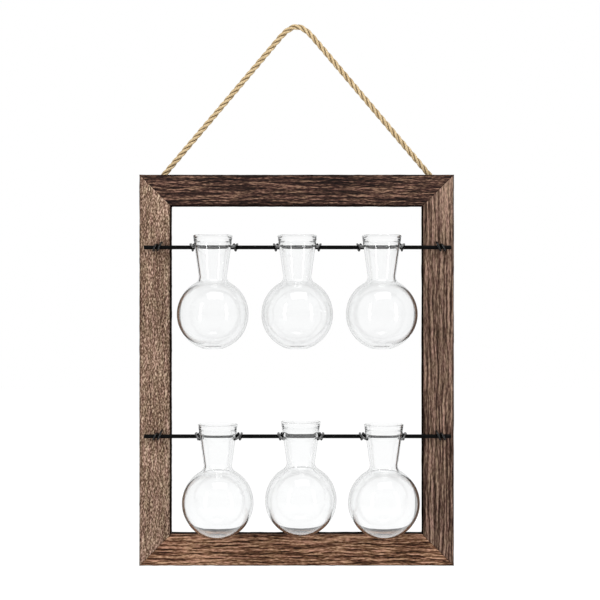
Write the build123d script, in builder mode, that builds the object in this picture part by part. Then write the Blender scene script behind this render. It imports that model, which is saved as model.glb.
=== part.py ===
"""A wall-hung propagation vase: six blown bulbs clipped to two rods on a mitred wooden frame.

Millimetres, +Z up, the front faces -Y. The origin is the point of the hook, inside the rope's top bend.
"""

import os
from math import acos, atan, atan2, cos, hypot, pi, radians, sin, sqrt, tan

from build123d import *

os.makedirs("parts", exist_ok=True)

# Frame: outer size as seen from the front, and the section of its rails.
frame_width = 280.0
frame_height = 348.0
rail_width = 28.0
rail_depth = 15.0
front_arris = 1.0
back_arris = 0.5

# Corner nails: L-shaped strips driven into the back across each mitre.
corner_nail_leg = 6.0
corner_nail_thickness = 0.8
corner_nail_length = 9.0
corner_nail_share = 0.7

# Rope hanger: from staples on the back, over the hook and down again.
rope_diameter = 4.5
rope_lift = 0.3
hang_height = 132.5
rope_slope = 49.8
hook_bend_radius = 14.0
hook_flat = 0.4

# Rope knots: one behind each top corner, with a short tail.
knot_place = 12.5
knot_length = 8.5
knot_radius = 4.9
knot_mouth_radius = 3.4
knot_offset = 1.0
rope_tail = 4.5
rope_tail_slack = 0.25

# Rope staples: two at each end of the rope, square to it.
staple_wire = 1.2
staple_clearance = 0.15
staple_hole_clearance = 0.05
staple_leg = 8.0
staple_bend = 1.3
first_staple_place = 6.5
staple_spacing = 4.0

# Rods: black steel, across the front of the side rails.
rod_diameter = 3.5
rod_length = 272.0
rod_offset = 0.7
rod_end_round = 0.3
upper_rod_drop = 65.0

# Rod ties: black wire, wound over each end of the rods and through the side rails.
wire_diameter = 1.8
tie_lean = 3.5
tie_step = 0.3
tie_slope = 0.2
tie_rise = 1.8
tie_clearance = 0.1
tie_hole_clearance = 0.1
tie_bend_radius = 1.9
tie_tail = 6.0
left_tie_inset = 16.7
right_tie_inset = 12.4

# Neck clips: the same wire, sprung round each neck and turned once round the rod at both sides of it.
neck_clearance = 0.3
clip_turn_clearance = 0.2
clip_turn_gap = 1.02
clip_arm_spread = 3.2
clip_grip_angle = 26.0
clip_tip_radius = 2.4
clip_tip_angle = 45.0
clip_run_in = 4.0
clip_run_lift = 0.15

# Vases: blown bulbs with a conical neck, all of one size.
bulb_diameter = 62.5
vase_height = 99.0
glass_wall = 1.6
base_radius = 8.0
neck_length = 36.0
neck_bottom_radius = 12.2
neck_blend_radius = 6.0
rim_radius = 17.3
rim_bead_radius = 1.0

# Where the vases hang: rim above each rod, lowest bulbs above the bottom rail, places along the rods.
upper_rim_rise = 9.9
lower_rim_rise = 12.5
lower_middle_lift = 2.4
lower_base_gap = 1.2
upper_pitch_share = 0.3286
upper_shift_share = 0.0027
lower_pitch_share = 0.3232
lower_shift_share = 0.0165

# One overrun for every cut.
overrun = 1.0

rope_radius = rope_diameter / 2
rod_radius = rod_diameter / 2
wire_radius = wire_diameter / 2
bulb_radius = bulb_diameter / 2
half_width = frame_width / 2
window_width = frame_width - 2 * rail_width

# Planes of the assembly, from back to front.
back_y = -rope_radius - rope_lift
front_y = back_y - rail_depth
tie_turn_radius = rod_radius + tie_clearance + wire_radius
clip_turn_radius = rod_radius + clip_turn_clearance + wire_radius
rod_y = front_y - tie_turn_radius - wire_radius - tie_clearance

# Levels of the assembly, from top to bottom.
frame_top = -hang_height
frame_bottom = frame_top - frame_height
frame_middle = (frame_top + frame_bottom) / 2
upper_rod_z = frame_top - upper_rod_drop
lower_rod_z = frame_bottom + rail_width + lower_base_gap + vase_height - lower_rim_rise

# The rope's straight lines meet the frame's top edge this far from its middle.
hook_run = 2 * hook_bend_radius * tan(radians(rope_slope / 2)) + hook_flat
rope_half_span = hook_run / 2 + (rope_radius - frame_top) / tan(radians(rope_slope))

staple_half_width = rope_radius + staple_clearance + staple_wire / 2
neck_taper = (rim_radius - neck_bottom_radius) / neck_length


def export(builder, name):
    """Label a finished piece and write it as a STEP of the same name."""
    builder.part.label = name
    export_step(builder.part, f"parts/{name}.step")
    print(f"{name}: {len(builder.part.solids())} solids, {builder.part.volume:.1f} mm3")


def winding(centre, radius, pitch, angles, side):
    """Points of a winding round an X axis, and its directions. Angle 0 is its top, and 90 its back."""
    climb = side * pitch / (2 * pi)
    points = []
    directions = []
    for turn in map(radians, angles):
        points.append(centre + Vector(climb * turn, radius * sin(turn), radius * cos(turn)))
        directions.append(Vector(climb, radius * cos(turn), -radius * sin(turn)).normalized())
    return points, directions


def biarcs(points, directions):
    """Two arcs in space between each point and the next, tangent to the direction at every point."""
    for start, end, leaving, arriving in zip(points, points[1:], directions, directions[1:]):
        chord = end - start
        both = leaving + arriving
        spread = 2 * (1 - leaving.dot(arriving))
        reach = (sqrt(chord.dot(both) ** 2 + spread * chord.dot(chord)) - chord.dot(both)) / spread
        middle = (start + leaving * reach + end - arriving * reach) * 0.5
        TangentArc(start, middle, tangent=leaving)
        TangentArc(end, middle, tangent=arriving * -1, tangent_from_first=True)


def least_self_gap(centre_line, section_diameter, steps=400):
    """Least gap between stretches of a wire that lie over three diameters apart along it."""
    points = [centre_line.position_at(i / steps) for i in range(steps + 1)]
    apart = int(3 * section_diameter / centre_line.length * steps) + 1
    gaps = [
        (points[i] - points[j]).length
        for i in range(len(points))
        for j in range(i + apart, len(points))
    ]
    return min(gaps) - section_diameter


def report_wire(name, builder, centre_line):
    """Print a bent wire's least gap to itself, and its volume over its section times its length."""
    gap = least_self_gap(centre_line, wire_diameter)
    bends = [edge.radius for edge in centre_line.edges() if edge.geom_type == GeomType.CIRCLE]
    volume = builder.part.volume / (pi * wire_radius**2 * centre_line.length)
    print(f"{name}: least gap to itself {gap:.2f} mm, volume over section times length {volume:.4f}, "
          f"least bend radius {min(bends):.2f} mm")


def rope_place(side, along):
    """Point on the rope's straight line, a distance along it below the frame's top edge."""
    return Vector(
        side * (rope_half_span + along * cos(radians(rope_slope))),
        0,
        frame_top - along * sin(radians(rope_slope)),
    )


def rope_knot(side):
    """A stopper knot at the rope's end, flattened where it lies near the wood, and the rope's tail."""
    start = rope_place(side, knot_place) + Vector(0, knot_offset, 0)
    outwards = (rope_place(side, knot_place + knot_length) - rope_place(side, knot_place)).normalized()
    profile = Plane(origin=start, x_dir=outwards, z_dir=outwards.cross(Vector(0, 1, 0)) * -1)
    with BuildPart() as knot:
        with BuildSketch(profile):
            with BuildLine():
                Polyline(
                    (knot_length, knot_mouth_radius),
                    (knot_length, 0),
                    (0, 0),
                    (0, knot_mouth_radius),
                )
                ThreePointArc(
                    (0, knot_mouth_radius),
                    (knot_length / 2, knot_radius),
                    (knot_length, knot_mouth_radius),
                )
            make_face()
        revolve(axis=Axis(start, outwards))
        split(bisect_by=Plane((0, -rope_radius, 0), z_dir=(0, 1, 0)), keep=Keep.TOP)
        with BuildSketch(Plane(start + outwards * knot_length, z_dir=outwards)):
            Circle(rope_radius - rope_tail_slack)
        extrude(amount=rope_tail)
    return knot


def staple_feet(side, along):
    """Where the two legs of a staple stand, at the rope's level. The staple lies square to the rope."""
    across = Vector(side * sin(radians(rope_slope)), 0, cos(radians(rope_slope))) * staple_half_width
    middle = rope_place(side, along)
    return middle - across, middle + across


def tie_turn_places(x, z, side):
    """Places below and above its rod that a tie turns at, from its lower hole to its upper hole."""
    half = tie_lean + tie_step / 2
    return [
        (x - side * half, z - tie_turn_radius),
        (x - side * tie_step / 2, z + tie_turn_radius),
        (x + side * tie_step / 2, z - tie_turn_radius),
        (x + side * half, z + tie_turn_radius + tie_rise),
    ]


def rod_tie(x, z, side):
    """One tie: a tail, a run through the rail, two leaning turns over the rod, and the same way back."""
    points = [Vector(turn_x, rod_y, turn_z) for turn_x, turn_z in tie_turn_places(x, z, side)]
    directions = [
        Vector(0, -1, 0),
        Vector(side * tie_slope, 1, 0).normalized(),
        Vector(side * tie_slope, -1, 0).normalized(),
        Vector(0, 1, 0),
    ]
    start, end = points[0], points[-1]
    tail_y = back_y + tie_bend_radius + tie_hole_clearance
    tail_start = Vector(start.X, tail_y, start.Z - tie_tail)
    tail_end = Vector(end.X, tail_y, end.Z + tie_tail)
    with BuildLine() as line:
        FilletPolyline(tail_start, Vector(start.X, tail_y, start.Z), start, radius=tie_bend_radius)
        biarcs(points, directions)
        FilletPolyline(end, Vector(end.X, tail_y, end.Z), tail_end, radius=tie_bend_radius)
    with BuildPart() as tie:
        with BuildSketch(Plane(tail_start, z_dir=(0, 0, 1))):
            Circle(wire_radius)
        sweep(path=line.line)
    report_wire("tie", tie, line.wire())
    return tie


def mitred_rail(length, plane):
    """A rail that lies along the plane's x direction, with its outer edge on the plane's origin."""
    inner = length / 2 - rail_width
    lengthwise = Axis(plane.origin, plane.x_dir)
    with BuildPart() as rail:
        with BuildSketch(plane):
            with BuildLine():
                Polyline(
                    (-length / 2, 0),
                    (length / 2, 0),
                    (inner, -rail_width),
                    (-inner, -rail_width),
                    close=True,
                )
            make_face()
        extrude(amount=-rail_depth)
        fillet(rail.edges().filter_by(lengthwise).sort_by(Axis.Y)[:2], front_arris)
        fillet(rail.edges().filter_by(lengthwise).sort_by(Axis.Y)[-2:], back_arris)
        add(corner_nails.part, mode=Mode.SUBTRACT)
        add(staple_holes.part, mode=Mode.SUBTRACT)
        add(tie_holes.part, mode=Mode.SUBTRACT)
    return rail


def front_plane(x, z, x_dir):
    """A plane on the frame's front face, looking forwards."""
    return Plane((x, front_y, z), x_dir, (0, -1, 0))


def rod(z):
    """A black rod with eased ends, across the front of both side rails."""
    with BuildPart() as bar:
        with BuildSketch(Plane((rod_offset - rod_length / 2, rod_y, z), z_dir=(1, 0, 0))):
            Circle(rod_radius)
        extrude(amount=rod_length)
        fillet(bar.edges().filter_by(GeomType.CIRCLE), rod_end_round)
    return bar


def neck_radius(below_rim):
    """Outer radius of a vase's neck at a depth below its rim."""
    return rim_radius - neck_taper * below_rim


def vase_axis_y(rim_rise):
    """Depth of a vase's axis, with its neck just in front of the rod."""
    return rod_y - rod_radius - neck_clearance - neck_radius(rim_rise - rod_radius)


def round_axis(middle, radius, angle, side):
    """Point at a radius round an upright axis, by an angle from that side of it towards the back."""
    return middle + Vector(side * radius * cos(angle), radius * sin(angle), 0)


def neck_clip(x, rod_z, rim_rise):
    """A sprung wire: two arms that grip a neck, a turn round the rod behind each, and a run between them."""
    middle = Vector(x, vase_axis_y(rim_rise), rod_z)
    grip_radius = neck_radius(rim_rise - wire_radius) + neck_clearance + wire_radius
    pitch = wire_diameter + clip_turn_gap
    arm_x = grip_radius + clip_arm_spread
    arm_y = rod_y - middle.Y
    touch = atan2(arm_y, arm_x) - acos(grip_radius / hypot(arm_x, arm_y))
    grip_end = -radians(clip_grip_angle)
    curl = radians(clip_tip_angle)
    run_half = arm_x - pitch - clip_run_in
    run_y = rod_y + clip_turn_radius + clip_run_lift
    with BuildLine() as line:
        Line((x - run_half, run_y, rod_z), (x + run_half, run_y, rod_z))
        for side in (-1, 1):
            touch_point = round_axis(middle, grip_radius, touch, side)
            centre = Vector(x + side * arm_x, rod_y, rod_z)
            points, directions = winding(centre, clip_turn_radius, pitch, (0, 180, 360), -side)
            biarcs(
                [touch_point, *points, Vector(x + side * run_half, run_y, rod_z)],
                [Vector(-side * sin(touch), cos(touch), 0), *directions, Vector(-side, 0, 0)],
            )
            halfway = round_axis(middle, grip_radius, (touch + grip_end) / 2, side)
            grip = round_axis(middle, grip_radius, grip_end, side)
            ThreePointArc(touch_point, halfway, grip)
            outwards = Vector(side * cos(grip_end), sin(grip_end), 0)
            forwards = Vector(side * sin(grip_end), -cos(grip_end), 0)
            tip = grip + (outwards * (1 - cos(curl)) + forwards * sin(curl)) * clip_tip_radius
            TangentArc(grip, tip, tangent=forwards)
    with BuildPart() as clip:
        with BuildSketch(Plane(tip, z_dir=outwards * sin(curl) + forwards * cos(curl))):
            Circle(wire_radius)
        sweep(path=line.wire())
    report_wire("neck clip", clip, line.wire())
    return clip


def bulb_outline(inset):
    """Points of a vase's side, this far inside its outer skin: bulb, blend and neck."""
    lean = atan(neck_taper)
    along = Vector(sin(lean), cos(lean))
    outwards = Vector(cos(lean), -sin(lean))
    bulb_centre = Vector(0, sqrt(bulb_radius**2 - base_radius**2))
    blend_middle = Vector(neck_bottom_radius, vase_height - neck_length) + outwards * neck_blend_radius
    offset = blend_middle - bulb_centre
    reach = bulb_radius + neck_blend_radius
    slide = sqrt(offset.dot(along) ** 2 - offset.dot(offset) + reach**2) - offset.dot(along)
    blend_centre = blend_middle + along * slide
    to_bulb = (bulb_centre - blend_centre).normalized()
    to_neck = outwards * -1
    blend_radius = neck_blend_radius + inset
    radius = bulb_radius - inset
    neck_start = blend_centre + to_neck * blend_radius
    top_z = vase_height - rim_bead_radius
    return {
        "floor": Vector(sqrt(radius**2 - (bulb_centre.Y - inset) ** 2), inset),
        "equator": Vector(radius, bulb_centre.Y),
        "shoulder": blend_centre + to_bulb * blend_radius,
        "blend": blend_centre + (to_bulb + to_neck).normalized() * blend_radius,
        "neck_start": neck_start,
        "top": Vector(neck_start.X + (top_z - neck_start.Y) * neck_taper, top_z),
    }


def vase(x, rod_z, rim_rise):
    """A blown bulb of even wall, with a flat base, a conical neck and a beaded rim."""
    outer = bulb_outline(0)
    inner = bulb_outline(glass_wall)
    base = Vector(x, vase_axis_y(rim_rise), rod_z + rim_rise - vase_height)
    with BuildPart() as bulb:
        with BuildSketch(Plane(base, x_dir=(1, 0, 0), z_dir=(0, -1, 0))):
            with BuildLine():
                Polyline(inner["floor"], (0, inner["floor"].Y), (0, outer["floor"].Y), outer["floor"])
                for skin in (outer, inner):
                    ThreePointArc(skin["floor"], skin["equator"], skin["shoulder"])
                    ThreePointArc(skin["shoulder"], skin["blend"], skin["neck_start"])
                    Line(skin["neck_start"], skin["top"])
                Line(outer["top"], inner["top"])
            make_face()
            with Locations((rim_radius - glass_wall / 2, vase_height - rim_bead_radius)):
                Circle(rim_bead_radius)
        revolve(axis=Axis(base, (0, 0, 1)))
    return bulb


# Corner nails, which the rails are cut for.
with BuildPart() as corner_nails:
    for across in (-1, 1):
        for up in (-1, 1):
            nail_x = across * (half_width - rail_width * corner_nail_share)
            nail_z = frame_middle + up * (frame_height / 2 - rail_width * corner_nail_share)
            with BuildSketch(Plane((nail_x, back_y, nail_z), (1, 0, 0), (0, -1, 0))):
                with BuildLine():
                    Polyline(
                        (0, 0),
                        (-across * corner_nail_leg, 0),
                        (-across * corner_nail_leg, -up * corner_nail_thickness),
                        (-across * corner_nail_thickness, -up * corner_nail_thickness),
                        (-across * corner_nail_thickness, -up * corner_nail_leg),
                        (0, -up * corner_nail_leg),
                        close=True,
                    )
                make_face()
            extrude(amount=corner_nail_length)
export(corner_nails, "corner_nails")

# The rope's route: up one side, round the hook on two equal corners, and down the other side.
rope_points = [
    rope_place(-1, knot_place),
    Vector(-hook_run / 2, 0, rope_radius),
    Vector(hook_run / 2, 0, rope_radius),
    rope_place(1, knot_place),
]
rope_bend_radii = [hook_bend_radius, hook_bend_radius]
with BuildPart() as hanger_rope:
    with BuildLine() as rope_line:
        FilletPolyline(*rope_points, radius=rope_bend_radii)
    with BuildSketch(Plane(rope_points[0], z_dir=rope_line.line % 0)):
        Circle(rope_radius)
    sweep(path=rope_line.line)
rope_length = rope_line.wire().length
print(f"rope: bend radii {rope_bend_radii} mm, length {rope_length:.1f} mm, volume over section times "
      f"length {hanger_rope.part.volume / (pi * rope_radius**2 * rope_length):.4f}")
export(hanger_rope, "hanger_rope")

for name, side in {"left": -1, "right": 1}.items():
    export(rope_knot(side), f"{name}_rope_knot")

# Bent staples over the rope, with both legs in the top rail, and the holes that they stand in.
staple_places = [
    (side, along)
    for side in (-1, 1)
    for along in (first_staple_place, first_staple_place + staple_spacing)
]
with BuildPart() as rope_staples:
    for place in staple_places:
        near, far = staple_feet(*place)
        leg_end = Vector(0, back_y - staple_leg, 0)
        crown = Vector(0, staple_half_width, 0)
        with BuildLine() as staple_line:
            FilletPolyline(near + leg_end, near + crown, far + crown, far + leg_end, radius=staple_bend)
        with BuildSketch(Plane(near + leg_end, z_dir=(0, 1, 0))):
            Circle(staple_wire / 2)
        sweep(path=staple_line.line)
export(rope_staples, "rope_staples")

with BuildPart() as staple_holes:
    for place in staple_places:
        for foot in staple_feet(*place):
            with BuildSketch(Plane((foot.X, back_y + overrun, foot.Z), z_dir=(0, -1, 0))):
                Circle(staple_wire / 2 + staple_hole_clearance)
            extrude(amount=staple_leg + overrun + staple_hole_clearance)

# Rod ties: out of the back through one hole, over the rod, and back through the other hole.
tie_places = {
    "upper_left": (-half_width + left_tie_inset, upper_rod_z, 1),
    "upper_right": (half_width - right_tie_inset, upper_rod_z, -1),
    "lower_left": (-half_width + left_tie_inset, lower_rod_z, 1),
    "lower_right": (half_width - right_tie_inset, lower_rod_z, -1),
}
for name, place in tie_places.items():
    export(rod_tie(*place), f"{name}_tie")

with BuildPart() as tie_holes:
    for place in tie_places.values():
        for x, z in tie_turn_places(*place)[::3]:
            with BuildSketch(Plane((x, back_y + overrun, z), z_dir=(0, -1, 0))):
                Circle(wire_radius + tie_hole_clearance)
            extrude(amount=rail_depth + 2 * overrun)

rails = {
    "top_rail": (frame_width, front_plane(0, frame_top, (1, 0, 0))),
    "bottom_rail": (frame_width, front_plane(0, frame_bottom, (-1, 0, 0))),
    "left_rail": (frame_height, front_plane(-half_width, frame_middle, (0, 0, 1))),
    "right_rail": (frame_height, front_plane(half_width, frame_middle, (0, 0, -1))),
}
for name, (length, plane) in rails.items():
    export(mitred_rail(length, plane), name)

# Two tiers: a rod each, and three clipped vases on it.
tiers = {
    "upper": (upper_rod_z, upper_rim_rise, 0, upper_pitch_share, upper_shift_share),
    "lower": (lower_rod_z, lower_rim_rise, lower_middle_lift, lower_pitch_share, lower_shift_share),
}
for tier, (rod_z, outer_rise, middle_lift, pitch_share, shift_share) in tiers.items():
    export(rod(rod_z), f"{tier}_rod")
    for step, place in enumerate(("left", "middle", "right"), start=-1):
        rim_rise = outer_rise + middle_lift * (step == 0)
        x = window_width * (shift_share + step * pitch_share)
        export(neck_clip(x, rod_z, rim_rise), f"{tier}_{place}_neck_clip")
        export(vase(x, rod_z, rim_rise), f"{tier}_{place}_vase")
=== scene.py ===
"""A wall-hung propagation vase: six clear blown bulbs clipped to two black rods on a mitred wooden frame.

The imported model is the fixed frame. Rails, bulbs, rope and knots get their full shape here, and the rods,
ties, clips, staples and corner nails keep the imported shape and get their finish. Metres, +Z up, the front
faces -Y.
"""

import logging
import math
from dataclasses import dataclass
from enum import Enum
from typing import Any, Sequence

import bmesh
import bpy
import numpy as np
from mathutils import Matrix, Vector


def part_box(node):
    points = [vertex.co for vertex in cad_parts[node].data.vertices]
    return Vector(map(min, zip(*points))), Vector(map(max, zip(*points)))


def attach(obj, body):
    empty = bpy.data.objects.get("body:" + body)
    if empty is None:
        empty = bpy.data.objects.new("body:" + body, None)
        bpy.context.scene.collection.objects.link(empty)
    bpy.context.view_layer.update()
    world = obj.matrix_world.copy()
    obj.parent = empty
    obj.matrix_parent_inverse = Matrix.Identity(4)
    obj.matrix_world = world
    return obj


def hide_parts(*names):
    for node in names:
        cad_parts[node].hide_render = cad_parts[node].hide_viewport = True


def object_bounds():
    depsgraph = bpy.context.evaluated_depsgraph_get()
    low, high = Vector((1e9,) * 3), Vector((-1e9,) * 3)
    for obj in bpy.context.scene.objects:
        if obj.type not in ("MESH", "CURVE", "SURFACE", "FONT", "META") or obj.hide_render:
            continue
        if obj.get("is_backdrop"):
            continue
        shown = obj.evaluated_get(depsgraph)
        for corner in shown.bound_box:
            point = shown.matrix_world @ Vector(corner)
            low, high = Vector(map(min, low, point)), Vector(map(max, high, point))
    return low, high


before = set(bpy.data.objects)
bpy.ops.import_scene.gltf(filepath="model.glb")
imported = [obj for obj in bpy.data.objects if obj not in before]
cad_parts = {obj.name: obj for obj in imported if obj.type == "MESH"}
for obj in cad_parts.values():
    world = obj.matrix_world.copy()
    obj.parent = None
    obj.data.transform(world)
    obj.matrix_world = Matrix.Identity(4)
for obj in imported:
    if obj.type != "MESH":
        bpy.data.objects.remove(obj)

MM = 0.001

Colour = tuple[float, float, float]

log = logging.getLogger("propagation_vase")


class Signal:
    """An output socket of a material's nodes. Arithmetic on it adds Math nodes."""

    def __init__(self, recipe: "Recipe", socket: bpy.types.NodeSocket) -> None:
        """Keep the output socket and the recipe whose nodes it is part of."""
        self.recipe = recipe
        self.socket = socket

    def math(self, operation: str, *operands: Any) -> "Signal":
        """Add a Math node of this operation on signals or numbers, and return its value."""
        return self.recipe.node("ShaderNodeMath", {"operation": operation}, dict(enumerate(operands)))

    def __add__(self, other: Any) -> "Signal":
        """Return self + other."""
        return self.math("ADD", self, other)

    def __radd__(self, other: Any) -> "Signal":
        """Return other + self."""
        return self.math("ADD", other, self)

    def __sub__(self, other: Any) -> "Signal":
        """Return self - other."""
        return self.math("SUBTRACT", self, other)

    def __rsub__(self, other: Any) -> "Signal":
        """Return other - self."""
        return self.math("SUBTRACT", other, self)

    def __mul__(self, other: Any) -> "Signal":
        """Return self * other."""
        return self.math("MULTIPLY", self, other)

    def __rmul__(self, other: Any) -> "Signal":
        """Return other * self."""
        return self.math("MULTIPLY", other, self)

    def __truediv__(self, other: Any) -> "Signal":
        """Return self / other."""
        return self.math("DIVIDE", self, other)

    def __rtruediv__(self, other: Any) -> "Signal":
        """Return other / self."""
        return self.math("DIVIDE", other, self)

    def larger(self, other: Any) -> "Signal":
        """Return the larger of self and other."""
        return self.math("MAXIMUM", self, other)

    def smooth(self, low: float, high: float) -> "Signal":
        """Return a mask that rises smoothly from 0 at low to 1 at high."""
        return self.recipe.node(
            "ShaderNodeMapRange",
            {"interpolation_type": "SMOOTHSTEP"},
            {"Value": self, "From Min": low, "From Max": high},
        )

    def ramp(self, stops: Sequence[tuple[float, Colour]]) -> "Signal":
        """Return the colour of the value on a ramp of places and their colours, in rising order."""
        return self.recipe.node("ShaderNodeValToRGB", {"stops": stops}, {"Fac": self})


class Recipe:
    """The nodes of one material or of the world."""

    def __init__(self, owner: Any) -> None:
        """Empty the node tree of the owner, a material or a world.

        Args:
            owner: The material or the world.
        """
        self.owner = owner
        owner.use_nodes = True
        self.tree = owner.node_tree
        self.tree.nodes.clear()

    def node(
        self, kind: str, settings: dict[str, Any], inputs: dict[Any, Any], output: Any = 0
    ) -> Signal | None:
        """Add a node, set it, and link or fill its sockets.

        Args:
            kind: The node's type.
            settings: Its properties; "stops" fills a colour ramp.
            inputs: Signals or values by the socket's name or number.
            output: Name or number of the output to return.

        Returns:
            That output, or None for a node without outputs.
        """
        made = self.tree.nodes.new(kind)
        for key, value in settings.items():
            if key == "stops":
                elements = made.color_ramp.elements
                while len(elements) < len(value):
                    elements.new(1.0)
                for element, (place, colour) in zip(elements, value):
                    element.position = place
                    element.color = (*colour, 1.0)
            else:
                setattr(made, key, value)
        for key, value in inputs.items():
            if isinstance(value, Signal):
                self.tree.links.new(value.socket, made.inputs[key])
            else:
                made.inputs[key].default_value = value
        return Signal(self, made.outputs[output]) if len(made.outputs) else None

    def place(self) -> Signal:
        """Return the point on the piece, in metres in the row frame."""
        return self.node("ShaderNodeTexCoord", {}, {}, "Object")

    def attribute(self, name: str) -> Signal:
        """Return a value that the mesh carries at its points."""
        return self.node("ShaderNodeAttribute", {"attribute_name": name}, {}, "Fac")

    def ray(self, kind: str) -> Signal:
        """Return 1 where the ray is of this kind, "Camera", "Glossy" or "Transmission"."""
        return self.node("ShaderNodeLightPath", {}, {}, f"Is {kind} Ray")

    def noise(self, vector: Signal, scale: float, detail: float = 2.0, roughness: float = 0.5) -> Signal:
        """Return noise, 0.5 on average, with scale cells per unit of the vector."""
        return self.node(
            "ShaderNodeTexNoise",
            {"noise_dimensions": "3D"},
            {"Vector": vector, "Scale": scale, "Detail": detail, "Roughness": roughness},
        )

    def mix(self, factor: Any, first: Any, second: Any, blend: str = "MIX") -> Signal:
        """Return two colours, each a signal or four numbers, mixed by the second's share."""
        settings = {"data_type": "RGBA", "blend_type": blend}
        return self.node("ShaderNodeMix", settings, {0: factor, 6: first, 7: second}, 2)

    def bump(self, height: Signal, depth: float) -> Signal:
        """Return the normal of a height from 0 to 1, where 1 stands for this depth in metres."""
        return self.node("ShaderNodeBump", {}, {"Height": height, "Distance": depth, "Strength": 1.0})

    def principled(self, inputs: dict[str, Any]) -> Signal:
        """Add a Principled shader with these inputs."""
        return self.node("ShaderNodeBsdfPrincipled", {}, inputs)

    def finish(self, shaders: dict[str, Signal]) -> bpy.types.Material:
        """Send the shaders for "Surface" and "Volume" to the output, and return the material."""
        self.node("ShaderNodeOutputMaterial", {}, shaders)
        return self.owner


def dress(piece: bpy.types.Object, material: bpy.types.Material) -> None:
    """Give a piece one material in place of any it has."""
    piece.data.materials.clear()
    piece.data.materials.append(material)


def mesh_piece(
    name: str, points: np.ndarray, faces: list[list[int]], attributes: dict[str, np.ndarray] | None = None
) -> bpy.types.Object:
    """Make a smooth mesh object with outward normals.

    Args:
        name: Name of the piece.
        points: Its points, one row each, in metres.
        faces: Point numbers of each face.
        attributes: Values at the points, by name.

    Returns:
        The object, linked to the scene.
    """
    mesh = bpy.data.meshes.new(name)
    mesh.from_pydata(points.tolist(), [], faces)
    for key, values in (attributes or {}).items():
        mesh.attributes.new(key, "FLOAT", "POINT").data.foreach_set("value", values.astype(np.float32))
    work = bmesh.new()
    work.from_mesh(mesh)
    bmesh.ops.recalc_face_normals(work, faces=work.faces)
    work.to_mesh(mesh)
    work.free()
    mesh.shade_smooth()
    piece = bpy.data.objects.new(name, mesh)
    bpy.context.scene.collection.objects.link(piece)
    return piece


def band_faces(rings: int, around: int, start: int = 0, capped: bool = True) -> list[list[int]]:
    """List the four-sided faces between rings of points, and then a face for each end.

    Args:
        rings: Number of rings.
        around: Points in each ring, which closes on itself.
        start: Number of the first point.
        capped: Whether the ends get faces.

    Returns:
        The faces.
    """
    faces = []
    for ring in range(rings - 1):
        low = start + ring * around
        high = low + around
        for step in range(around):
            after = (step + 1) % around
            faces.append([low + step, low + after, high + after, high + step])
    if capped:
        last = start + (rings - 1) * around
        faces += [list(range(first, first + around)) for first in (start, last)]
    return faces


def distances(path: np.ndarray) -> np.ndarray:
    """Return how far along the path each of its points lies."""
    return np.concatenate([[0], np.cumsum(np.linalg.norm(np.diff(path, axis=0), axis=1))])


def points_at(places: Any, lengths: np.ndarray, path: np.ndarray) -> np.ndarray:
    """Return the points at places along a path, whose own points lie at these lengths."""
    return np.stack([np.interp(places, lengths, path[:, axis]) for axis in range(3)], axis=-1)


def value_noise(along: np.ndarray, across: np.ndarray, seed: int) -> np.ndarray:
    """Smooth noise from 0 to 1 on a grid of unit cells.

    Args:
        along: First coordinate, in cells.
        across: Second coordinate, in cells.
        seed: Picks the pattern.

    Returns:
        The noise at each point.
    """
    column, row = np.floor(along).astype(np.int64), np.floor(across).astype(np.int64)
    right, up = along - column, across - row
    right, up = right * right * (3 - 2 * right), up * up * (3 - 2 * up)

    def corner(x: np.ndarray, y: np.ndarray) -> np.ndarray:
        """Return the fixed random number of a cell's corner."""
        mixed = (x * 374761393 + y * 668265263 + seed * 974634777) & 0xFFFFFFFF
        mixed = ((mixed ^ (mixed >> 13)) * 1274126177) & 0xFFFFFFFF
        return ((mixed ^ (mixed >> 16)) & 0xFFFF) / 0xFFFF

    low = corner(column, row) * (1 - right) + corner(column + 1, row) * right
    high = corner(column, row + 1) * (1 - right) + corner(column + 1, row + 1) * right
    return low * (1 - up) + high * up


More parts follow.
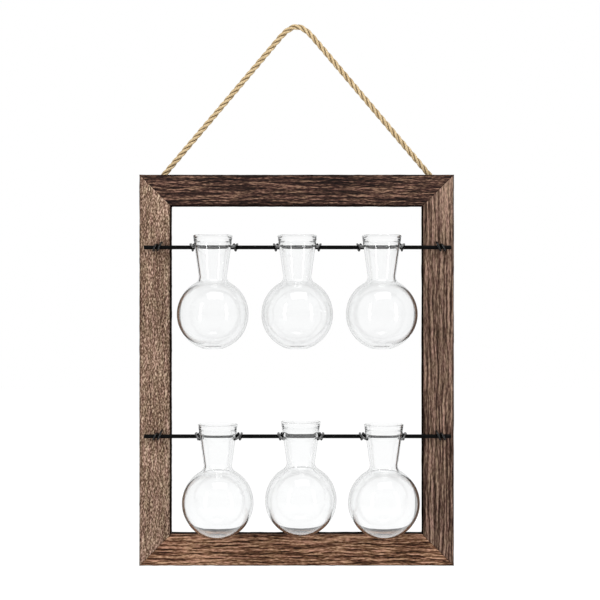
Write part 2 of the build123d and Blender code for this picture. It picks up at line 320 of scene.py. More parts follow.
@dataclass(frozen=True)
class StainedWood:
    """Brown stained wood, wire-brushed along the grain and rubbed back on its ridges."""

    groove: Colour
    body: Colour
    ridge: Colour
    worn: Colour
    # Near-black colour that the edges darken to, also used as painted shade on the inner side faces and in
    # the mitre grooves.
    edge_and_shade_colour: Colour = (0.007, 0.004, 0.003)
    reddish: Colour = (1.0, 0.90, 0.91)
    greenish: Colour = (1.0, 1.0, 0.92)
    tint_length: float = 14 * MM
    tint_width: float = 3 * MM
    fibre_length: float = 4 * MM
    fibre_width: float = 0.8 * MM
    fibre_share: float = 0.35
    fibre_range: tuple[float, float] = (0.34, 0.66)
    fibre_depth: float = 0.08 * MM
    patch_length: float = 70 * MM
    patch_width: float = 11 * MM
    patch_share: float = 0.30
    tone_places: tuple[float, float, float, float] = (0.12, 0.42, 0.62, 0.95)
    tint_places: tuple[float, float] = (0.36, 0.64)
    roughness: float = 0.82
    ridge_polish: float = 0.20
    index: float = 1.35
    specular: float = 0.15

    def stretch(self, recipe: Recipe, along: Vector, length: float, width: float) -> Signal:
        """Return the place on the piece in cells of this length along the grain and this width across it."""
        scales = [1 / (length if abs(along[axis]) > 0.5 else width) for axis in range(3)]
        return recipe.node("ShaderNodeVectorMath", {"operation": "MULTIPLY"}, {0: recipe.place(), 1: scales})

    def material(self, name: str, along: Vector) -> bpy.types.Material:
        """Build the material, for meshes with "grain" and "edge" values; "edge" mixes in the near-black
        colour of the darkened edges and of the painted shade.

        Args:
            name: Its name.
            along: The grain's direction.

        Returns:
            The material.
        """
        recipe = Recipe(bpy.data.materials.new(name))
        fibre_place = self.stretch(recipe, along, self.fibre_length, self.fibre_width)
        fibre = recipe.noise(fibre_place, 1.0, roughness=0.6).smooth(*self.fibre_range)
        patch = recipe.noise(self.stretch(recipe, along, self.patch_length, self.patch_width), 1.0)
        tone = recipe.attribute("grain") * (1 - self.fibre_share) + fibre * self.fibre_share
        tone = tone + (patch - 0.5) * self.patch_share
        stops = list(zip(self.tone_places, (self.groove, self.body, self.ridge, self.worn)))
        tint_place = self.stretch(recipe, along, self.tint_length, self.tint_width)
        tints = list(zip(self.tint_places, (self.reddish, self.greenish)))
        tint = recipe.noise(tint_place, 1.0).ramp(tints)
        wood = recipe.principled({
            "Base Color": recipe.mix(1.0, tone.ramp(stops), tint, "MULTIPLY"),
            "Roughness": self.roughness - tone * self.ridge_polish,
            "IOR": self.index,
            "Specular IOR Level": self.specular,
            "Normal": recipe.bump(fibre, self.fibre_depth),
        })
        # The mesh's "edge" value mixes the wood towards a near-black matt shader: darker edges, and painted
        # shade on the inner sides and in the mitre grooves.
        edge_and_shade_colour = {"Base Color": (*self.edge_and_shade_colour, 1.0), "Roughness": 1.0, "Specular IOR Level": 0.0}
        edge_and_shade_shader = recipe.principled(edge_and_shade_colour)
        wood_with_edge_shade = recipe.node("ShaderNodeMixShader", {}, {0: recipe.attribute("edge"), 1: wood, 2: edge_and_shade_shader})
        return recipe.finish({"Surface": wood_with_edge_shade})


@dataclass(frozen=True)
class BlackLacquer:
    """Thin black lacquer on drawn steel, with as much of a glossy coat as it is given."""

    name: str
    colour: Colour = (0.003, 0.003, 0.003)
    worn: Colour = (0.020, 0.019, 0.019)
    ripple: float = 1.6 * MM
    ripple_depth: float = 0.02 * MM
    rub: float = 6.4 * MM
    rub_range: tuple[float, float] = (0.62, 0.80)
    rub_roughness: float = 0.22
    roughness: float = 0.30
    index: float = 1.5
    specular: float = 0.03
    coat: float = 0.0
    coat_roughness: float = 0.10

    def material(self) -> bpy.types.Material:
        """Build the material."""
        recipe = Recipe(bpy.data.materials.new(self.name))
        place = recipe.place()
        ripple = recipe.noise(place, 1 / self.ripple)
        rub = recipe.noise(place, 1 / self.rub, detail=4.0, roughness=0.7).smooth(*self.rub_range)
        return recipe.finish({"Surface": recipe.principled({
            "Base Color": recipe.mix(rub, (*self.colour, 1.0), (*self.worn, 1.0)),
            "Roughness": rub * self.rub_roughness + self.roughness,
            "IOR": self.index,
            "Specular IOR Level": self.specular,
            "Coat Weight": self.coat,
            "Coat Roughness": self.coat_roughness,
            "Normal": recipe.bump(ripple, self.ripple_depth),
        })})


@dataclass(frozen=True)
class PlainSteel:
    """Zinc plated steel of small nails and staples, dulled in places."""

    name: str
    bright: Colour = (0.56, 0.56, 0.57)
    dull: Colour = (0.24, 0.22, 0.20)
    spot: float = 1.1 * MM
    spot_range: tuple[float, float] = (0.45, 0.72)
    spot_depth: float = 0.02 * MM
    spot_roughness: float = 0.25
    roughness: float = 0.30

    def material(self) -> bpy.types.Material:
        """Build the material."""
        recipe = Recipe(bpy.data.materials.new(self.name))
        spots = recipe.noise(recipe.place(), 1 / self.spot, detail=4.0, roughness=0.65)
        spots = spots.smooth(*self.spot_range)
        return recipe.finish({"Surface": recipe.principled({
            "Base Color": recipe.mix(spots, (*self.bright, 1.0), (*self.dull, 1.0)),
            "Metallic": 1.0,
            "Roughness": spots * self.spot_roughness + self.roughness,
            "Normal": recipe.bump(spots, self.spot_depth),
        })})


@dataclass(frozen=True)
class JuteYarn:
    """Raw jute: pale glossy fibres that run along each strand, and painted shade in the valleys between the
    strands.

    The fibres' length and width are in millimetres, as the mesh's "lay" and "turn" are.
    """

    name: str
    # Painted shade in the valleys between the strands.
    shade: Colour = (0.091, 0.051, 0.019)
    dark: Colour = (0.283, 0.175, 0.076)
    middle: Colour = (0.468, 0.342, 0.181)
    pale: Colour = (0.687, 0.552, 0.342)
    tone_places: tuple[float, float, float] = (0.15, 0.45, 0.78)
    fibre_length: float = 7.0
    fibre_width: float = 0.38
    fibre_range: tuple[float, float] = (0.22, 0.78)
    fibre_share: float = 0.60
    fibre_depth: float = 0.10 * MM
    patch: float = 7 * MM
    roughness: float = 0.80
    fibre_polish: float = 0.15
    index: float = 1.4

    def material(self) -> bpy.types.Material:
        """Build the material, for meshes with a "lay" and a "turn" in millimetres and a "valley" share of
        painted shade.
        """
        recipe = Recipe(bpy.data.materials.new(self.name))
        lay = recipe.attribute("lay") / self.fibre_length
        turn = recipe.attribute("turn") / self.fibre_width
        fibre_place = recipe.node("ShaderNodeCombineXYZ", {}, {0: lay, 1: turn})
        fibre = recipe.noise(fibre_place, 1.0, roughness=0.55).smooth(*self.fibre_range)
        patch = recipe.noise(recipe.place(), 1 / self.patch)
        tone = fibre * self.fibre_share + patch * (1 - self.fibre_share)
        colour = tone.ramp(list(zip(self.tone_places, (self.dark, self.middle, self.pale))))
        # Painted shade: the colour darkens towards the valleys between the strands.
        colour = recipe.mix(recipe.attribute("valley"), colour, (*self.shade, 1.0))
        return recipe.finish({"Surface": recipe.principled({
            "Base Color": colour,
            "Roughness": self.roughness - fibre * self.fibre_polish,
            "IOR": self.index,
            "Normal": recipe.bump(fibre, self.fibre_depth),
        })})


@dataclass(frozen=True)
class ClearGlass:
    """Clear blown soda glass, whose colour greys towards its outline, where the sight line grazes the wall:
    painted shade.

    Each pair of tints is how far the wall turns from the sight line, 0 to 1, and how much light passes.
    """

    name: str
    index: float = 1.5
    grey: Colour = (0.90, 0.912, 0.914)
    density: float = 180.0
    specular: float = 0.10
    tints: tuple[tuple[float, float], ...] = (
        (0.25, 1.0), (0.60, 0.94), (0.70, 0.80), (0.78, 0.55), (0.95, 0.38),
    )
    wave: float = 16 * MM
    wave_depth: float = 0.05 * MM

    def material(self) -> bpy.types.Material:
        """Build the material."""
        recipe = Recipe(bpy.data.materials.new(self.name))
        wave = recipe.noise(recipe.place(), 1 / self.wave, detail=1.0)
        turned = recipe.node("ShaderNodeLayerWeight", {}, {"Blend": 0.5}, "Facing")
        glass = recipe.principled({
            # Painted shade: the colour darkens towards the outline, by how far the wall turns from the sight
            # line.
            "Base Color": turned.ramp([(place, (tint, tint, tint)) for place, tint in self.tints]),
            "Roughness": 0.0,
            "IOR": self.index,
            "Specular IOR Level": self.specular,
            "Transmission Weight": 1.0,
            "Normal": recipe.bump(wave, self.wave_depth),
        })
        depth = {"Color": (*self.grey, 1.0), "Density": self.density}
        volume = recipe.node("ShaderNodeVolumeAbsorption", {}, depth)
        return recipe.finish({"Surface": glass, "Volume": volume})


@dataclass(frozen=True)
class Softbox:
    """A rectangular soft light: where it stands, its width and height in metres, and its watts."""

    name: str
    place: tuple[float, float, float]
    size: tuple[float, float]
    power: float


@dataclass
class Studio:
    """Pale floor, white surround, soft lights and the camera of the photograph."""

    image_side: float = 600.0
    focal_length: float = 1300.0
    sensor: float = 36.0
    camera_place: tuple[float, float, float] = (3 * MM, -1172.6 * MM, -244.1 * MM)
    floor_drop: float = 120 * MM
    floor_side: float = 8.0
    floor_pale: float = 0.86
    floor_shown: float = 0.30
    floor_glow: float = 0.83
    surround: float = 0.60
    overhead_grey: float = 0.55
    overhead_range: tuple[float, float] = (0.70, 0.90)
    softboxes: tuple[Softbox, ...] = (
        Softbox("left strip", (-0.75, -0.95, -0.10), (0.16, 1.10), 7.0),
        Softbox("right strip", (0.85, -0.85, -0.15), (0.16, 1.10), 5.5),
        Softbox("overhead", (0.10, -0.55, 0.75), (0.9, 0.5), 6.0),
    )

    def aim(self, thing: bpy.types.Object, target: Vector) -> None:
        """Turn a lamp or the camera towards a point."""
        thing.rotation_euler = (target - thing.location).to_track_quat("-Z", "Y").to_euler()

    def camera(self) -> None:
        """Set the camera up as the photograph's, level and looking along +Y."""
        data = bpy.data.cameras.new("camera")
        data.sensor_width = self.sensor
        data.lens = self.focal_length / self.image_side * self.sensor
        thing = bpy.data.objects.new("camera", data)
        thing.location = self.camera_place
        self.aim(thing, thing.location + Vector((0, 1, 0)))
        bpy.context.scene.collection.objects.link(thing)
        bpy.context.scene.camera = thing

    def light(self, softbox: Softbox) -> None:
        """Add a soft light that looks at the object's middle.

        Args:
            softbox: The light.
        """
        data = bpy.data.lights.new(softbox.name, "AREA")
        data.shape = "RECTANGLE"
        data.size, data.size_y = softbox.size
        data.energy = softbox.power
        thing = bpy.data.objects.new(softbox.name, data)
        thing.location = softbox.place
        self.aim(thing, Vector((0, 0, self.camera_place[2])))
        thing.visible_camera = False
        thing.visible_transmission = False
        bpy.context.scene.collection.objects.link(thing)

    def bounced(self, recipe: Recipe) -> Signal:
        """Return 1 for the rays that gloss and glass send out, and 0 for others."""
        return recipe.ray("Glossy").larger(recipe.ray("Transmission"))

    def floor(self) -> None:
        """Lay a pale floor under the object, which keeps its shadow."""
        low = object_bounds()[0]
        half = self.floor_side / 2
        height = low[2] - self.floor_drop
        corners = [(-half, -half), (half, -half), (half, half), (-half, half)]
        points = np.array([(x, y, height) for x, y in corners])
        piece = mesh_piece("floor", points, [[0, 1, 2, 3]])
        recipe = Recipe(bpy.data.materials.new("pale floor"))
        seen = recipe.ray("Camera").larger(self.bounced(recipe))
        pale, shown = (*[self.floor_pale] * 3, 1.0), (*[self.floor_shown] * 3, 1.0)
        paper = recipe.node("ShaderNodeBsdfDiffuse", {}, {"Color": recipe.mix(seen, pale, shown)})
        glow = recipe.node("ShaderNodeEmission", {}, {"Strength": seen * self.floor_glow})
        both = recipe.node("ShaderNodeAddShader", {}, {0: paper, 1: glow})
        dress(piece, recipe.finish({"Surface": both}))
        piece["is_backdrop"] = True

    def world(self) -> None:
        """Surround the object with white, and with a grey patch overhead that only gloss and glass show."""
        world = bpy.data.worlds.new("surround")
        bpy.context.scene.world = world
        recipe = Recipe(world)
        direction = recipe.node("ShaderNodeTexCoord", {}, {}, "Generated")
        height = recipe.node("ShaderNodeSeparateXYZ", {}, {0: direction}, "Z")
        reflected = 1.0 - height.smooth(*self.overhead_range) * (1.0 - self.overhead_grey)
        seen, bounced = recipe.ray("Camera"), self.bounced(recipe)
        strength = seen + (1.0 - seen) * (bounced * reflected + (1.0 - bounced) * self.surround)
        white = {"Color": (1.0, 1.0, 1.0, 1.0), "Strength": strength}
        background = recipe.node("ShaderNodeBackground", {}, white)
        recipe.node("ShaderNodeOutputWorld", {}, {"Surface": background})

    def build(self) -> None:
        """Set up the whole studio."""
        self.camera()
        self.world()
        self.floor()
        for softbox in self.softboxes:
            self.light(softbox)
        bpy.context.scene.view_settings.view_transform = "Standard"
        log.info("studio: camera, surround, floor and %d softboxes", len(self.softboxes))


@dataclass(frozen=True)
class Grain:
    """Brushed grain of one board, in millimetres: its ridges, their wander, and shares of specks and bands.

    The board gets lighter by far_end over half_board towards the end that its grain points to.
    """

    seed: int
    width: float = 1.5
    length: float = 12.0
    wave: float = 1.2
    curl: float = 0.35
    speck: float = 0.0
    broad: float = 0.15
    gain: float = 1.7
    far_end: float = 0.0
    half_board: float = 174.0
    ridge_share: float = 0.36
    bristle_share: float = 0.24
    hair_share: float = 0.28
    side_step: float = 1.15

    def ridges(self, u: np.ndarray, v: np.ndarray, width: float, length: float, seed: int) -> np.ndarray:
        """Noise less the noise at either side of it, so that ridges and grooves take turns.

        Args:
            u: Places along the grain, in millimetres.
            v: Places across it, in millimetres.
            width: Width of a ridge.
            length: Length of a ridge.
            seed: Picks the pattern.

        Returns:
            The difference, about 0 on average.
        """
        steps = (0, -self.side_step, self.side_step)
        middle, outer, inner = (value_noise(u / length, v / width + step, seed) for step in steps)
        return middle - (outer + inner) / 2

    def height(self, along: np.ndarray, across: np.ndarray) -> np.ndarray:
        """Height of the grain, 0 in a groove and 1 on a ridge.

        Args:
            along: Places along the grain, in metres.
            across: Places across it, in metres.

        Returns:
            The height at each point.
        """
        u, v, seed = along / MM, across / MM, self.seed
        wanders = ((34, 12, 0, self.wave * 2), (13, 6, 1, self.wave * 0.5), (6, 7, 6, self.curl * 2))
        for length, width, step, reach in wanders:
            v = v + reach * (value_noise(u / length, v / width, seed + step) - 0.5)
        hair = value_noise(u / (0.5 * self.length), v / (0.5 * self.width), seed + 4)
        hair = hair + value_noise(u / (1.3 * self.length), v / (0.8 * self.width), seed + 10) - 1
        streaks = (
            self.ridge_share * self.ridges(u, v, self.width, self.length, seed + 2)
            + self.bristle_share * self.ridges(u, v, 0.7 * self.width, 0.3 * self.length, seed + 3)
            + self.hair_share * hair
        )
        specks = self.ridges(u, v, 0.8 * self.width, 1.2 * self.width, seed + 7)
        bands = value_noise(u / (2.5 * self.length), v / (3 * self.width), seed + 5)
        bands = bands + value_noise(u / (5 * self.length), v / (7 * self.width), seed + 8) - 1
        mixed = streaks * (1 - self.speck) + specks * self.speck + bands * self.broad
        return np.clip(mixed * self.gain + 0.5 + self.far_end * u / self.half_board, 0, 1)


@dataclass(frozen=True)
class Board:
    """One board: the node that it replaces, its directions, its stain and its grain.

    The painted shade on the inner side leaves a share of it unshaded, from the front edge on.
    """

    node: str
    along: tuple[int, int, int]
    inwards: tuple[int, int, int]
    stain: StainedWood
    grain: Grain
    unshaded_front: float = 0.0


class Lie(Enum):
    """The four boards of the frame."""

    TOP = Board(
        "top_rail", (1, 0, 0), (0, 0, -1),
        StainedWood(
            (0.003, 0.002, 0.002), (0.020, 0.010, 0.008), (0.062, 0.033, 0.024), (0.260, 0.160, 0.112)
        ),
        Grain(11, width=1.25, length=18.0, wave=0.7, curl=0.2),
    )
    BOTTOM = Board(
        "bottom_rail", (-1, 0, 0), (0, 0, 1),
        StainedWood(
            (0.014, 0.006, 0.003), (0.095, 0.046, 0.025), (0.195, 0.105, 0.064), (0.500, 0.310, 0.205)
        ),
        Grain(31, width=1.25, length=15.0, wave=0.9, curl=0.2, gain=2.5, far_end=0.05),
        unshaded_front=0.35,
    )
    LEFT = Board(
        "left_rail", (0, 0, 1), (1, 0, 0),
        StainedWood(
            (0.036, 0.020, 0.014), (0.118, 0.073, 0.050), (0.240, 0.162, 0.116), (0.540, 0.415, 0.325),
            fibre_length=2.4 * MM,
            fibre_width=0.75 * MM,
            fibre_share=0.60,
        ),
        Grain(51, width=1.25, length=10.0, wave=0.6, speck=0.3, broad=0.15, gain=1.8, far_end=-0.04),
    )
    RIGHT = Board(
        "right_rail", (0, 0, -1), (-1, 0, 0),
        StainedWood(
            (0.020, 0.010, 0.007), (0.076, 0.046, 0.033), (0.150, 0.098, 0.073), (0.345, 0.240, 0.182)
        ),
        Grain(71, width=1.3, length=30.0, wave=1.0, curl=0.15, gain=2.2, far_end=-0.12),
    )


@dataclass
class Rail:
    """One mitred rail: brushed grain cut into its faces, eased edges and a fine bevel along each mitre."""

    board: Board
    front_step: float = 0.34 * MM
    back_step: float = 0.9 * MM
    length_step: float = 0.85 * MM
    front_arris: float = 1.0 * MM
    back_arris: float = 0.5 * MM
    mitre_bevel: float = 0.30 * MM
    groove_depth: float = 0.30 * MM
    sink: float = 0.04 * MM
    edge_width: float = 0.9 * MM
    edge_start: float = 0.4 * MM
    # How dark the edges get near the section's corners, and the painted shade in the mitre grooves.
    edge_darkening: float = 0.8
    end_fade: float = 1.6 * MM
    nick_length: float = 7 * MM
    nick_width: float = 30 * MM
    nick_level: float = 0.45
    nick_depth: float = 1.1 * MM
    inner_side: float = 0.35 * MM

    def section(self, width: float, depth: float) -> tuple[np.ndarray, np.ndarray]:
        """Walk round the section, from the front face's outer edge inwards.

        Args:
            width: From the outer to the inner side.
            depth: From front to back.

        Returns:
            Points as (way in, way back), and the outward normal at each.
        """
        front, back = self.front_arris, self.back_arris
        corners = [
            (front, front, front, 180.0),
            (width - front, front, front, 270.0),
            (width - back, depth - back, back, 0.0),
            (back, depth - back, back, 90.0),
        ]
        steps = [self.front_step, self.back_step, self.back_step, self.back_step]
        points, normals = [], []
        for index, (x, y, radius, start) in enumerate(corners):
            for turn in np.radians(start + np.linspace(0, 90, 6)):
                normal = (math.cos(turn), math.sin(turn))
                points.append((x + radius * normal[0], y + radius * normal[1]))
                normals.append(normal)
            next_x, next_y, next_radius, next_start = corners[(index + 1) % 4]
            turn = math.radians(next_start)
            target = (next_x + next_radius * math.cos(turn), next_y + next_radius * math.sin(turn))
            span = math.dist(points[-1], target)
            count = max(2, round(span / steps[index]))
            begin = points[-1]
            for share in np.arange(1, count) / count:
                points.append(tuple(begin[i] + (target[i] - begin[i]) * share for i in range(2)))
                normals.append(normals[-1])
        return np.array(points), np.array(normals)

    def build(self) -> bpy.types.Object:
        """Build the rail in the place of its node.

        Returns:
            The finished piece.
        """
        node = self.board.node
        along, inwards = Vector(self.board.along), Vector(self.board.inwards)
        low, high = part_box(node)
        span = high - low
        length = abs(span.dot(along))
        width = abs(span.dot(inwards))
        middle = (low + high) / 2
        origin = middle - inwards * width / 2
        origin.y = low.y
        section, normals = self.section(width, span.y)
        shares = np.linspace(-1, 1, round(length / self.length_step))
        reach = length / 2 - np.clip(section[:, 0], 0, width)
        u = shares[:, None] * (reach - self.mitre_bevel)[None, :]
        v = np.broadcast_to(distances(section), u.shape)
        height = self.board.grain.height(u, v)
        to_end = reach[None, :] - np.abs(u)
        fade = np.clip(to_end / self.end_fade, 0, 1)
        unshaded = self.board.unshaded_front
        corner = np.minimum.reduce([
            np.hypot(section[:, 0] - x, section[:, 1] - y)
            for x, y in ((0, 0), (width, 0), (width, span.y), (0, span.y))
            if not unshaded or (x, y) != (width, 0)
        ])
        # Darker near the section's corners.
        edge = self.edge_darkening * np.exp(-np.clip(corner - self.edge_start, 0, None) / self.edge_width)
        nick = value_noise(u / self.nick_length, v / self.nick_width, self.board.grain.seed + 9)
        wear = edge[None, :] ** 2 * np.clip(nick - self.nick_level, 0, 1) * self.nick_depth
        inset = (self.sink + (1 - height) * self.groove_depth * fade) + wear * fade
        x = section[None, :, 0] - normals[None, :, 0] * inset
        y = section[None, :, 1] - normals[None, :, 1] * inset
        # Painted shade: the inner side face gets the full near-black colour, back from its unshaded front
        # share.
        shaded_inner_side = (section[:, 0] > width - self.inner_side) & (section[:, 1] > unshaded * span.y)
        edge = np.broadcast_to(np.where(shaded_inner_side, 1.0, edge), u.shape)
        u, x, y, height, edge = self.with_ends((u, x, y, height, edge), width, span.y)
        points = (
            np.array(origin)
            + u[..., None] * np.array(along)
            + x[..., None] * np.array(inwards)
            + y[..., None] * np.array((0, 1, 0))
        )
        faces = band_faces(len(u), len(section))
        values = {"grain": height.ravel(), "edge": edge.ravel()}
        piece = mesh_piece(f"{node}_board", points.reshape(-1, 3), faces, values)
        dress(piece, self.board.stain.material(f"stained wood {node}", along))
        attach(piece, "frame")
        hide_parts(node)
        log.info("%s: %d faces", piece.name, len(faces))
        return piece

    def with_ends(self, fields: Sequence[np.ndarray], width: float, depth: float) -> list[np.ndarray]:
        """Add a slightly smaller ring at each mitre, so that a fine groove shows where two rails meet,
        darkened with painted shade.

        Args:
            fields: Places along the rail, ways in, ways back, grain heights and edge darkening with painted
                shade, one row for each ring.
            width: The rail's width.
            depth: The rail's depth.

        Returns:
            The same five arrays with a ring more at each end.
        """
        u, x, y, height, edge = fields
        ends = []
        for row, sign in ((0, -1), (-1, 1)):
            inner_x = np.clip(x[row], self.mitre_bevel, width - self.mitre_bevel)
            inner_y = np.clip(y[row], self.mitre_bevel, depth - self.mitre_bevel)
            end = u[row] + sign * (self.mitre_bevel + x[row] - inner_x)
            # Painted shade in the mitre groove: the end ring gets the full edge darkening and a darker grain
            # tone.
            groove_shade = np.full_like(edge[row], self.edge_darkening)
            ends.append((end, inner_x, inner_y, height[row] * 0.5, groove_shade))
        rows = zip(ends[0], fields, ends[1])
        return [np.concatenate([[first], middle, [last]]) for first, middle, last in rows]


@dataclass
class MitredFrame:
    """Four rails and the nails across their corners."""

    nails: str = "corner_nails"

    def build(self) -> None:
        """Build the rails and dress the nails."""
        for lie in Lie:
            Rail(lie.value).build()
        dress(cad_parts[self.nails], PlainSteel("corner nail steel").material())
        log.info("%s: dressed", self.nails)


@dataclass
class LaidRope:
    """Three strands of jute laid round a line."""

    diameter: float
    pitch: float = 22 * MM
    strands: int = 3
    strand_share: float = 0.305
    crest_share: float = 1.15
    twist_share: float = 0.45
    lobes: int = 6
    lobe_share: float = 0.035
    valley_start: float = 0.50
    valley_span: float = 0.75
    lay_shift: float = 50.0
    around: int = 30
    step: float = 0.45 * MM

    def frames(self, path: np.ndarray) -> tuple[np.ndarray, np.ndarray, np.ndarray, np.ndarray]:
        """Sample a line evenly and carry a frame along it without twist.

        Args:
            path: The points of the line.

        Returns:
            Points, first and second normals, and distances along the line.
        """
        lengths = distances(path)
        count = max(8, round(lengths[-1] / self.step))
        places = np.linspace(0, lengths[-1], count)
        points = points_at(places, lengths, path)
        tangents = np.gradient(points, axis=0)
        tangents /= np.linalg.norm(tangents, axis=1)[:, None]
        normal = np.cross(tangents[0], (0.0, 1.0, 0.0) if abs(tangents[0][1]) < 0.9 else (0.0, 0.0, 1.0))
        normals = []
        for tangent in tangents:
            normal = normal - tangent * normal.dot(tangent)
            normal = normal / np.linalg.norm(normal)
            normals.append(normal)
        normals = np.array(normals)
        return points, normals, np.cross(tangents, normals), places

    def build(self, name: str, path: np.ndarray, spread: np.ndarray | None = None) -> bpy.types.Object:
        """Build the strands as one mesh.

        Args:
            name: Name of the piece.
            path: Points of the rope's line, close together.
            spread: Share of the strands' distance from the line, at evenly spaced places along it.

        Returns:
            The mesh, not yet dressed.
        """
        points, first, second, places = self.frames(path)
        opening = np.ones(len(points))
        if spread is not None:
            opening = np.interp(np.linspace(0, 1, len(points)), np.linspace(0, 1, len(spread)), spread)
        strand_radius = self.diameter * self.strand_share
        centre_radius = self.diameter / 2 * self.crest_share - strand_radius
        all_points, all_faces, lay, turn, valley = [], [], [], [], []
        angles = np.linspace(0, 2 * math.pi, self.around, endpoint=False)
        for strand in range(self.strands):
            phase = 2 * math.pi * (places / self.pitch + strand / self.strands)
            cos, sin = np.cos(phase)[:, None], np.sin(phase)[:, None]
            outwards, sideways = first * cos + second * sin, second * cos - first * sin
            centre = points + outwards * (centre_radius * opening)[:, None]
            twist = -2 * math.pi * places / (self.pitch * self.twist_share)
            lobes = 1 + self.lobe_share * np.cos(self.lobes * (angles[None, :] + twist[:, None]))
            radius = strand_radius * lobes
            ring = (
                centre[:, None, :]
                + (radius * np.cos(angles)[None, :])[..., None] * outwards[:, None, :]
                + (radius * np.sin(angles)[None, :])[..., None] * sideways[:, None, :]
            )
            all_points.append(ring.reshape(-1, 3))
            all_faces += band_faces(len(points), self.around, strand * len(points) * self.around)
            shifted = places[:, None] / MM + self.lay_shift * strand
            lay.append(np.broadcast_to(shifted, ring.shape[:2]).ravel())
            turn.append(((angles[None, :] + twist[:, None]) * strand_radius / MM).ravel())
            # Share of painted shade, rising on the side of each strand that faces the others.
            inner = np.clip((self.valley_start - np.cos(angles)) / self.valley_span, 0, 1)
            valley.append(np.broadcast_to(inner[None, :], ring.shape[:2]).ravel())
        values = {"lay": lay, "turn": turn, "valley": valley}
        values = {key: np.concatenate(parts) for key, parts in values.items()}
        return mesh_piece(name, np.concatenate(all_points), all_faces, values)


